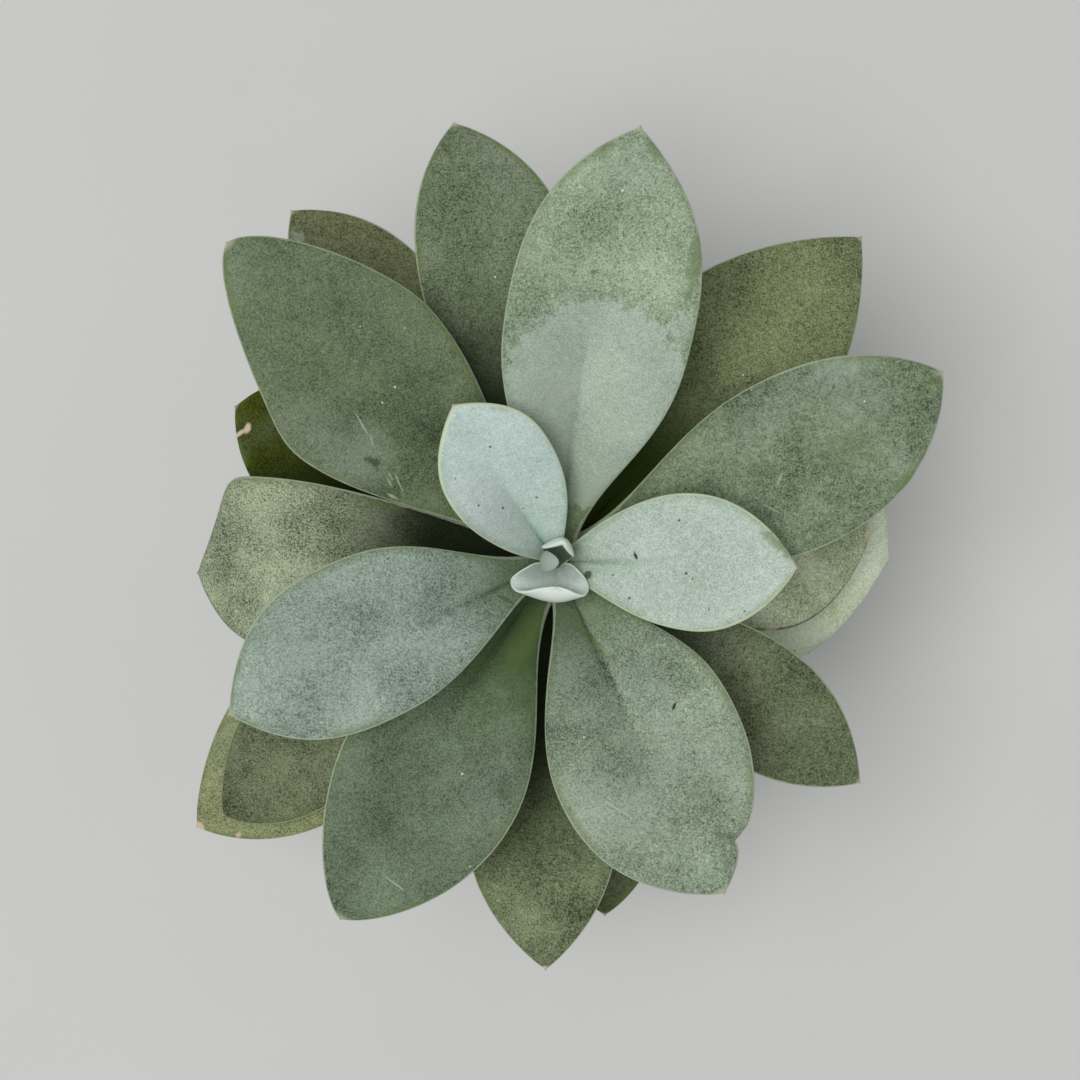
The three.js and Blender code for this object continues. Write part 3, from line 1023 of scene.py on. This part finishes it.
    def dress(self, piece: Piece) -> None:
        """Paint dark moulded plastic with a faint satin, scuffs and dust.

        Args:
            piece: the pot.
        """
        ink = Ink("pot_plastic")
        cloud = ink.noise(self.CLOUD)
        worn = ink.ramp(ink.noise(self.SCUFFS), *self.SCUFF_RANGE)
        worn = ink.times(worn, ink.ramp(cloud, *self.CLOUD_RANGE))
        colour = ink.coat(self.PLASTIC[0], cloud, self.PLASTIC[1])
        colour = ink.coat(colour, ink.times(worn, self.DUST_SHARE), self.DUST)
        ink.bump(ink.noise(self.PITS), self.PIT_MM, self.PIT_SHARE)
        ink.paint(piece, colour, ink.ramp(worn, 0.0, 1.0, self.ROUGHNESS))


@dataclass(frozen=True)
class Soil:
    """The potting mix: a lumpy top inside the rim, strewn with crumbs.

    A crumb is a ball whose size goes from the smallest by a spread, dented, stretched and
    flattened. It keeps some room from the stem and from the wall.
    """

    top: float = 49.0
    bump: float = 0.6
    waves: int = 18
    clearance: float = 0.3
    around: int = 160
    top_rings: int = 44
    crumbs: int = 620
    crumb_rings: int = 4
    crumb_sides: int = 7
    seed: int = 7

    GRAINS, CLOUD = Grain(1.3, 5.0, 0.75), Grain(0.25, 3.0, 0.6)
    MIX, GRAIN_RANGE, GRAIN_MM, ROUGHNESS = (0x1E1712, 0x54412F), (0.35, 0.65), 0.5, 0.95
    DRY, DRY_RANGE, DRY_SHARE = 0x6B5A45, (0.5, 0.7), 0.5
    FIRST_RING, CHAMFER, FOOT_RISE, SHELF_RISE, STEM_GAP = 8.0, 1.0, 0.3, 0.2, 0.05
    FINENESS, WAVE_HEIGHT, WAVE_BASE = (0.25, 2.2), 0.16, 0.4
    SMALLEST, SPREAD, DENTS, STRETCH = 0.35, 0.9, (0.7, 1.15), (0.55, 1.3)
    FLATTENED, LIFT, STEM_ROOM, WALL_ROOM = [1, 1, 0.7], 0.15, 1.4, 1.7

    def ground(self, x: np.ndarray, y: np.ndarray) -> np.ndarray:
        """Lay out the surface as sines of random headings about the top, the finer ones lower.

        Args:
            x: places from left to right.
            y: places from front to back.

        Returns:
            Heights.
        """
        rng = np.random.default_rng(self.seed)
        coarse, fine = self.FINENESS
        total = np.zeros_like(x)
        for _ in range(self.waves):
            turn, phase, wave = rng.uniform((0, 0, coarse), (2 * np.pi, 2 * np.pi, fine))
            ahead = x * math.cos(turn) + y * math.sin(turn)
            total += np.sin(wave * ahead + phase) * self.WAVE_HEIGHT / (self.WAVE_BASE + wave)
        return self.top + self.bump * total

    def build(self, pot: Pot, stem: Stem) -> Piece:
        """Make the body of soil, with the stem's hole, and press the crumbs into its top.

        Args:
            pot: gives the inside of the wall.
            stem: gives the hole.

        Returns:
            The dressed soil.
        """
        gap, floor = self.clearance, pot.floor + self.clearance
        base_radius, shoulder_radius, band_radius, rim_radius = (
            outer - pot.wall
            for outer in (pot.base_radius, pot.shoulder_radius, pot.band_radius, pot.rim_radius)
        )
        heights = [pot.band_foot + pot.wall, pot.height]
        brim = np.interp(self.top, heights, [band_radius, rim_radius])
        hole = float(stem.radius(self.top)) + self.STEM_GAP
        base = stem.foot - gap
        section = [
            (self.FIRST_RING, floor),
            (base_radius - gap - self.CHAMFER, floor),
            (base_radius - gap - self.FOOT_RISE, floor + self.FOOT_RISE),
            (shoulder_radius - gap, pot.band_foot + gap / 2),
            (band_radius - gap, pot.band_foot + pot.wall + self.SHELF_RISE),
            *((r, self.top) for r in np.linspace(brim - gap, hole, self.top_rings)),
            (hole, (self.top + base) / 2),
            (hole, base),
        ]
        radius, height = np.array(section).T[..., None]
        points, faces = MeshMaker.turned(radius, height, self.around, (floor, base))
        upper = points[:, 2] == self.top
        points[upper, 2] = self.ground(*points[upper, :2].T)
        crumbs, crumb_faces = self.strew(brim, hole)
        faces[1] = np.concatenate([faces[1], crumb_faces + len(points)])
        piece = MeshMaker.build("soil_mix", np.concatenate([points, crumbs]), faces)
        self.dress(piece)
        return piece

    def strew(self, brim: float, hole: float) -> tuple[np.ndarray, np.ndarray]:
        """Scatter flattened, dented balls over the top, each turned at random and about half sunk.

        They are spread evenly over the ring between stem and wall: the distance is the root of an
        even draw between the squares of both radii.

        Args:
            brim: the wall's inner radius at the top of the soil.
            hole: the radius of the stem's hole.

        Returns:
            Points and triangles of all the crumbs.
        """
        rng = np.random.default_rng(self.seed + 1)
        count, rings, around = self.crumbs, self.crumb_rings, self.crumb_sides
        size = self.SMALLEST + self.SPREAD * rng.random(count) ** 3
        nearest, farthest = hole + self.STEM_ROOM, brim - self.WALL_ROOM
        distance = np.sqrt(blend(nearest ** 2, farthest ** 2, rng.random(count)))
        turn = rng.uniform(0, 2 * np.pi, count)
        centre = np.stack([distance * np.cos(turn), distance * np.sin(turn)], -1)
        polar = (np.pi * (1 - (np.arange(rings) + 1) / (rings + 1)))[:, None]
        ball, (quads, fans) = MeshMaker.turned(np.sin(polar), np.cos(polar), around, (-1, 1))
        dents = rng.uniform(*self.DENTS, (count, len(ball), 1))
        stretch = size[:, None] * rng.uniform(*self.STRETCH, (count, 3)) * self.FLATTENED
        x, y, z = np.moveaxis(ball[None] * dents * stretch[:, None], -1, 0)
        spin = rng.uniform(0, 2 * np.pi, count)[:, None]
        east = x * np.cos(spin) - y * np.sin(spin) + centre[:, :1]
        north = x * np.sin(spin) + y * np.cos(spin) + centre[:, 1:]
        up = z + (self.ground(*centre.T) + self.LIFT * size)[:, None]
        one = np.concatenate([quads[:, [0, 1, 2]], quads[:, [0, 2, 3]], fans])
        faces = one[None] + (np.arange(count) * len(ball))[:, None, None]
        return np.stack([east, north, up], -1).reshape(-1, 3), faces.reshape(-1, 3)

    def dress(self, piece: Piece) -> None:
        """Paint a dark brown mix with lighter and darker grains.

        Args:
            piece: the soil.
        """
        ink = Ink("soil_crumb")
        grains = ink.noise(self.GRAINS)
        colour = ink.coat(self.MIX[0], ink.ramp(grains, *self.GRAIN_RANGE), self.MIX[1])
        dry = ink.times(ink.ramp(ink.noise(self.CLOUD), *self.DRY_RANGE), self.DRY_SHARE)
        ink.bump(grains, self.GRAIN_MM)
        ink.paint(piece, ink.coat(colour, dry, self.DRY), self.ROUGHNESS)


ROSETTE = (
    Leaf(168, 5.8, (1.4, 1.0), (34, 158), 0, replace(BUD, rounding=0.5), FIRST_SKIN, fold=(10, 15)),
    Leaf(
        70, 6.1, (2.6, 2.1), (28, 112), 0, replace(BUD, widest=(0.6, 0.6), keel=0.6), SECOND_SKIN,
        fold=(25, 45),
    ),
    Leaf(
        -91, 6.9, (4.0, 5.6), (19, 175), -3,
        replace(BUD, neck=0.38, flare=0.55, blunt=(2.0, 2.0), rounding=0.5), CROWN_SKIN,
        fold=(46, -25), fold_fade=0.45, curl=2.2,
    ),
    Leaf(
        123.3, 25.5, (6.4, 6.8), (56, 28), 0, replace(YOUNG, blunt=(2.4, 3.1), rounding=0.95),
        tinted(YOUNG_SKIN, 0xF1F2F2, 0x89B7A4, shade=0.2),
        spots(
            (DOT, 14.5, 4.0, 0.15, 0.13), (DOT, 12.1, 2.0, 0.16, 0.15),
            (DOT, 19.4, -1.0, 0.13, 0.15), (DOT, 10.8, -2.6, 0.14, 0.16),
            (WAXED, 9.7, -3.0, 1.0, 0.5, 22, 1.3, 0.6),
        ),
    ),
    Leaf(
        -1.2, 28.3, (8.0, 7.7), (44, 15), -2, replace(YOUNG, widest=(0.57, 0.62)),
        tinted(YOUNG_SKIN, 0xE3EFE6, 0x789378),
        spots(
            (RUBBED, 26.2, 2.5, 2.1, 0.55, -42, 1.2, 0.6),
            (BRUISE, 4.3, -2.2, 0.6, 0.45, 18, 1.1, 0.4), (DOT, 10.2, 1.0, 0.6, 0.2, -82, 1.2),
            (DOT, 7.6, -2.1, 0.12, 0.11), (DOT, 10.2, -4.6, 0.18, 0.14),
            (DOT, 16.3, -1.4, 0.16, 0.16), (DOT, 15.7, 5.1, 0.16, 0.14),
        ),
    ),
    Leaf(
        -155.1, 41.0, (8.2, 10.6), (45, 0), 0,
        replace(SPOON, blunt=(3.1, 3.1), widest=(0.56, 0.56), rounding=1.0),
        tinted(UPPER_SKIN, 0xB8CBBB, 0x3B4F38, rim_strength=0.8),
        spots(
            (BRUISE, 7.9, 2.4, 0.9, 0.35, -61, 0.6, 0.9),
            (BRUISE, 29.7, -4.1, 0.6, 0.4, -29, 0.35, 0.8), (SCRATCH, 18.7, 1.1, 2.3, 0.09, -79),
        ),
    ),
    Leaf(
        79.4, 50.6, (9.9, 11.2), (45, 8), -5,
        replace(SPOON, blunt=(3.2, 3.2), widest=(0.54, 0.54), rounding=1.0),
        tinted(UPPER_SKIN, 0xC1D3B6, 0x425D37, crease=0.5, shade=0.42),
        spots(
            (WAXED, 20.0, -2.0, 12.6, 11.6, 0, 0.8, 0.13),
            (WAXED, 31.4, -9.5, 1.7, 1.2, 0, 0.5, 0.5), (RUBBED, 39.8, -9.4, 4.6, 0.8, 1, 1.0, 0.5),
            (RUBBED, 47.4, 3.1, 1.2, 0.7, -11, 0.9, 0.8),
            (RUBBED, 48.6, -2.2, 1.1, 0.6, 48, 0.9, 0.8),
            (BRUISE, 34.9, 1.2, 0.5, 0.3, -80, 0.7, 0.7), (SCRATCH, 13.4, -3.5, 1.1, 0.09, 39),
            (FLECK, 43.8, 0.1, 0.13, 0.11),
        ),
    ),
    Leaf(
        -63.2, 42.2, (11.2, 11.4), (45, 5), 3, replace(SPOON, widest=(0.54, 0.61)),
        tinted(UPPER_SKIN, 0xBBCCB1, 0x33472A, crease=0.5, shade=-0.35),
        spots(
            (WAXED, 19.2, 3.7, 6.5, 3.0, 3, 0.2, 0.7), (RUBBED, 9.6, -0.6, 3.5, 0.85, 24, 0.8, 0.5),
            (DOT, 22.3, 5.4, 0.42, 0.16, -58, 1.2), (BRUISE, 37.1, 3.4, 0.8, 0.4, 66, 0.5, 0.8),
            (SCRATCH, 29.4, -6.0, 1.75, 0.08, 32), (FLECK, 21.0, -6.1, 0.12, 0.1),
        ),
        nick=0.9,
    ),
    Leaf(
        135.8, 50.8, (12.4, 10.4), (38, 0), 2,
        replace(SPOON, blunt=(0.95, 1.3), widest=(0.62, 0.62), rounding=0.64),
        tinted(UPPER_SKIN, 0x889A75, 0x253515, rim=0xAEBA9E, shade=-0.25),
        spots(
            (WAXED, 25.4, 7.7, 4.4, 3.4, 10, 0.12, 0.7),
            (BRUISE, 23.5, 7.2, 0.75, 0.5, -11, 1.0, 0.9),
            (SCRATCH, 26.9, 5.0, 1.3, 0.1, -18, 1.0, 0.6),
            (SCRATCH, 25.1, 5.5, 0.7, 0.09, -32, 0.8, 0.6),
            (SCRATCH, 20.7, 7.6, 0.7, 0.09, -14, 0.8, 0.6),
            (SCRATCH, 21.1, 7.0, 0.45, 0.08, -19, 0.8, 0.6),
            (SCRATCH, 19.7, 7.0, 1.3, 0.1, -24, 1.0, 0.6),
            (SCRATCH, 19.3, 8.5, 0.6, 0.16, 16, 1.0, 0.6), (FLECK, 27.1, -1.4, 0.12, 0.11),
            (FLECK, 26.9, 1.4, 0.12, 0.11),
        ),
    ),
    Leaf(
        26, 47.8, (9.2, 11.0), (38, -2), 5, SPOON,
        tinted(UPPER_SKIN, 0xA1B292, 0x263D17, mottle=0.55, cloud=0.45),
        spots(
            (RUBBED, 34.8, -2.6, 2.6, 1.9, -32, 0.5, 0.9),
            (RUBBED, 38.5, -8.5, 1.6, 0.6, -2, 1.0, 0.7),
            (RUBBED, 46.4, -0.6, 0.6, 0.8, 20, 1.2, 0.9),
            (BRUISE, 25.3, 0.0, 1.5, 1.2, -34, 0.3, 1.0),
            (WAXED, 37.8, 6.5, 2.6, 1.6, -3, 0.3, 0.9), (WAXED, 28.1, 5.1, 3.4, 2.2, 2, 0.2, 0.9),
            (SCRATCH, 26.8, -2.1, 1.25, 0.12, 45, 0.8, 0.6),
            (SCRATCH, 24.6, -4.6, 1.05, 0.1, -52, 0.5, 0.6),
        ),
        wave=0.5,
    ),
    Leaf(
        -121.3, 46.1, (12.6, 9.4), (35, -5), 6, replace(SPOON, blunt=(2.0, 1.6), rounding=0.74),
        tinted(UPPER_SKIN, 0x889B7D, 0x233417, heart=0.75, heart_reach=0.5, heart_colour=0x46602E),
        spots(
            (RUBBED, 8.8, 3.0, 4.8, 1.4, 5, 0.8, 0.5),
            (BRUISE, 24.9, 10.4, 0.9, 0.7, -62, 0.4, 1.0),
            (BRUISE, 34.8, -0.1, 0.9, 0.55, 0, 0.5, 0.9),
            (WAXED, 15.7, 3.7, 1.5, 0.8, 87, 0.14, 0.9), (SCRATCH, 39.6, 3.9, 1.2, 0.08, 83),
            (FLECK, 25.5, 5.0, 0.12, 0.11),
        ),
    ),
    Leaf(
        103.1, 49.6, (8.1, 10.4), (32, -8), 0, replace(LANCE, blunt=(2.6, 2.6), rounding=0.9),
        tinted(LOWER_SKIN, 0x98A888, 0x29371A, heart_reach=0.7, heart_colour=0x1E2C14),
        spots((BRUISE, 46.5, 1.5, 1.6, 0.3, 20, 0.5, 0.7)),
    ),
    Leaf(
        -36.1, 41.3, (8.1, 6.8), (28, -12), 1, LANCE,
        tinted(LOWER_SKIN, 0x939F79, 0x1F2816, heart_reach=0.5),
    ),
    Leaf(
        -177.9, 42.8, (9.8, 11.3), (28, -45), 2, SHOVEL,
        tinted(LOWER_SKIN, 0xCDD9B5, 0x223014, felt=1.1, mottle=0.25, cloud=0.55, heart_reach=0.65),
    ),
    Leaf(
        46.6, 49.4, (11.9, 10.8), (24, -12), -2,
        replace(LANCE, blunt=(1.7, 1.7), widest=(0.54, 0.62)),
        tinted(LOWER_SKIN, 0xA5B181, 0x1E2B16, heart_reach=0.6, heart_colour=0x283A08),
    ),
    Leaf(
        -91.3, 45.6, (8.5, 10.1), (20, -15), 0, replace(LANCE, blunt=(2.0, 2.0)),
        tinted(LOWER_SKIN, 0xA5B289, 0x233116, cloud=0.5, heart_reach=0.85, heart_colour=0x16220C),
        spots((CORK, 45.3, -0.2, 0.5, 0.3, -80, 0.8)),
    ),
    Leaf(
        127, 49.2, (8.5, 9.0), (18, -15), 2, replace(LANCE, blunt=(2.2, 2.6)),
        tinted(LOWER_SKIN, 0x979D75, 0x282E12, heart_reach=0.75),
        spots((WAXED, 45.5, 1.4, 1.1, 0.5, 23, 0.5, 0.9)),
    ),
    Leaf(
        4.7, 35.4, (10.2, 11.1), (15, -22), -1, replace(LANCE, blunt=(3.1, 2.1)),
        # The dark rim is a painted shadow: the dark line where this leaf's margin shades the leaf
        # under it.
        tinted(
            LOWER_SKIN, 0xE3EBD0, 0x627A40, cloud=0.55, heart=0.5, heart_reach=0.4, fringe=0.2,
            rim=0x3E4A30, rim_width=0.4,
        ),
        spots(
            (CORK, 34.8, 0.2, 0.9, 0.45, 62, 0.8, 0.8), (CORK, 21.1, -10.8, 0.8, 0.3, 19, 0.6, 0.8),
        ),
    ),
    Leaf(
        -142.3, 50.5, (7.2, 10.3), (14, -34), 0, replace(LANCE, blunt=(2.8, 1.8)),
        tinted(LOWER_SKIN, 0x8E9874, 0x1B2411, cloud=0.55, felt=1.3),
    ),
    Leaf(75.4, 38.0, (9.0, 9.0), (10, -20), 0, LANCE, LOWER_SKIN),
    Leaf(
        -81.9, 41.8, (8.3, 7.5), (10, -25), -2, replace(LANCE, blunt=(2.5, 2.0)),
        tinted(LOWER_SKIN, 0x717A54, 0x191E10),
    ),
    Leaf(
        154.4, 41.9, (9.6, 9.2), (10, -30), 0, replace(LANCE, blunt=(2.4, 2.4)),
        tinted(LOWER_SKIN, 0x5F6A17, 0x060901, rim=0x99A384, heart_reach=1.0),
        spots(
            (BRUISE, 38.7, 2.4, 1.5, 0.85, 50, 0.8, 0.5),
            (CORK, 38.9, 2.9, 1.05, 0.3, 52, 1.0, 0.3),
            (CORK, 38.2, 1.9, 0.62, 0.42, -75, 1.0, 0.3),
        ),
    ),
    Leaf(
        -0.2, 38.5, (10.7, 13.6), (8, -20), -5.5,
        replace(LANCE, blunt=(4.6, 1.6), widest=(0.73, 0.64)),
        # Its very pale wax and light tissue are partly painted light, raised to make up for the
        # shade that the leaves above cast on it.
        tinted(LOWER_SKIN, 0xFAFDEE, 0xA6BC8A, cloud=0.5, heart=0.3, heart_reach=0.4, fringe=0.35),
    ),
    Leaf(
        -143.1, 53.2, (10.2, 11.7), (6, -20), 0, replace(LANCE, blunt=(2.2, 1.6), rounding=0.87),
        tinted(LOWER_SKIN, 0xC1C795, 0x374624, rim=0xB4BE94),
        spots((CORK, 52.6, 0.2, 0.7, 0.5, -80), (CORK, 48.7, 4.0, 0.4, 0.27, 0, 0.8)),
    ),
)

LEAF_SLOTS = ["crown_leaf"] * 3 + ["young_leaf"] * 2 + ["upper_leaf"] * 6 + ["lower_leaf"] * 13


@dataclass(frozen=True)
class Rosette:
    """All the leaves, from the youngest to the oldest."""

    leaves: tuple[Leaf, ...] = ROSETTE
    first_seed: int = 100

    def build(self, stem: Stem) -> list[Piece]:
        """Make each leaf on its seat on the stem.

        Args:
            stem: gives the seats.

        Returns:
            The dressed leaves, from the youngest to the oldest.
        """
        return [
            leaf.build(f"blade_{age + 1:02d}", stem.seat(age), self.first_seed + age)
            for age, leaf in enumerate(self.leaves)
        ]


@dataclass(frozen=True)
class Studio:
    """The pale floor, the soft light and the camera that looks straight down."""

    lens: float = 77.97
    film: float = 36.0
    nearest: float = 0.01
    camera_mm: tuple[float, float, float] = (-1.75, 2.4, 347.5)
    floor_mm: float = 3000.0
    key_watts: float = 4.4
    key_size: float = 0.42
    key_distance: float = 0.85
    key_lean: float = 11.0
    key_bearing: float = 190.0
    sky: float = 0.32
    aim_height: float = 0.08

    SKY_COLOUR, FLOOR_COLOURS = (0.95, 0.98, 1.0, 1.0), (0xDCDCD8, 0xE2E2DF)
    FLOOR_CLOUD, FLOOR_ROUGHNESS = Grain(0.02, 3.0, 0.5), 0.85

    def camera(self) -> None:
        """Place the camera above the plant, with the top of its picture towards +Y."""
        data = bpy.data.cameras.new("overhead")
        data.lens = self.lens
        data.sensor_width = self.film
        data.clip_start = self.nearest
        eye = bpy.data.objects.new("overhead", data)
        eye.location = [part * MM for part in self.camera_mm]
        bpy.context.scene.collection.objects.link(eye)
        bpy.context.scene.camera = eye

    def light(self) -> None:
        """Hang one round soft light, leaning to the left, under an even pale sky."""
        data = bpy.data.lights.new("softbox", "AREA")
        data.shape = "DISK"
        data.size = self.key_size
        data.energy = self.key_watts
        lamp = bpy.data.objects.new("softbox", data)
        lean, bearing = math.radians(self.key_lean), math.radians(self.key_bearing)
        level = self.key_distance * math.sin(lean)
        height = self.aim_height + self.key_distance * math.cos(lean)
        lamp.location = (level * math.cos(bearing), level * math.sin(bearing), height)
        lamp.rotation_euler = (0.0, lean, bearing)
        bpy.context.scene.collection.objects.link(lamp)
        world = bpy.data.worlds.new("studio")
        world.use_nodes = True
        background = world.node_tree.nodes["Background"]
        background.inputs["Color"].default_value = self.SKY_COLOUR
        background.inputs["Strength"].default_value = self.sky
        bpy.context.scene.world = world
        bpy.context.scene.view_settings.view_transform = "Standard"

    def floor(self) -> Piece:
        """Lay the pale floor that the pot stands on.

        Returns:
            The floor.
        """
        corners = np.array([[-1, -1, 0], [1, -1, 0], [1, 1, 0], [-1, 1, 0]])
        square = [np.array([[0, 1, 2, 3]])]
        piece = MeshMaker.build("studio_floor", corners * (self.floor_mm / 2), square)
        ink = Ink("floor_paint")
        darker, lighter = self.FLOOR_COLOURS
        colour = ink.coat(darker, ink.noise(self.FLOOR_CLOUD), lighter)
        ink.paint(piece, colour, self.FLOOR_ROUGHNESS)
        return piece


def seat_piece(piece: Piece, node: str) -> None:
    """Let a piece stand for its node and ride with the plant.

    Args:
        piece: the finished piece.
        node: the plain solid that it stands for.
    """
    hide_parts(node)
    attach(piece, BODY)
    piece.data.calc_loop_triangles()
    log.info("%s stands for %s: %d triangles", piece.name, node, len(piece.data.loop_triangles))


def main() -> None:
    """Build the plant, its pot and the studio."""
    logging.basicConfig(level=logging.INFO, format="%(message)s")
    pot, rosette = Pot(), Rosette()
    stem = Stem(rosette.leaves[-1].heading, len(rosette.leaves))
    seat_piece(pot.build(), "pot")
    seat_piece(Soil().build(pot, stem), "soil")
    seat_piece(stem.build(), "stem")
    for age, (piece, slot) in enumerate(zip(rosette.build(stem), LEAF_SLOTS)):
        seat_piece(piece, f"leaf_{age + 1:02d}")
    studio = Studio()
    studio.camera()
    studio.light()
    studio.floor()


if __name__ == "__main__":
    main()
